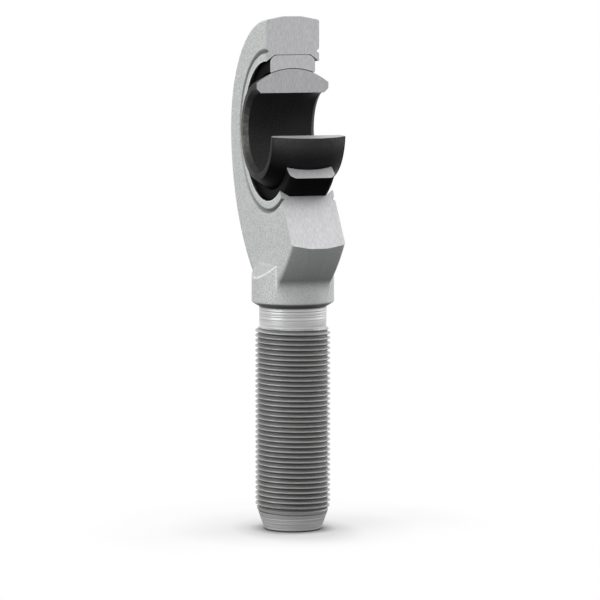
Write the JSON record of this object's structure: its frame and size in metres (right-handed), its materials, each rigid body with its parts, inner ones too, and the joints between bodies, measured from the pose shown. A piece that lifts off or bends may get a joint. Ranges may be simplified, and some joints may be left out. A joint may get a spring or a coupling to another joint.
{
  "type": "rod end",
  "caption": "Male-threaded rod end with a spherical plain bearing, its eye and rings sectioned to show the inside",
  "frame": {"origin": "centre of the spherical bearing, on the axis of the pin bore", "axes": "+Y along the pin bore, -Z along the shank towards its threaded end, +X towards the open section"},
  "size_m": [0.0201, 0.0086, 0.0542],
  "materials": {
    "housing_steel": "blasted, light grey, with ground section faces and a turned shank",
    "outer_ring_steel": "black phosphated, with ground section faces",
    "inner_ring_steel": "black phosphated, with ground section faces"
  },
  "bodies": {
    "rod_body": {"housing": "housing_steel", "outer_ring": "outer_ring_steel"},
    "ball": {"inner_ring": "inner_ring_steel"}
  },
  "joints": [
    {"name": "ball_turn", "type": "hinge", "parent": "rod_body", "child": "ball", "pos_m": [0, 0, 0], "axis": [0, 1, 0], "continuous": true}
  ]
}
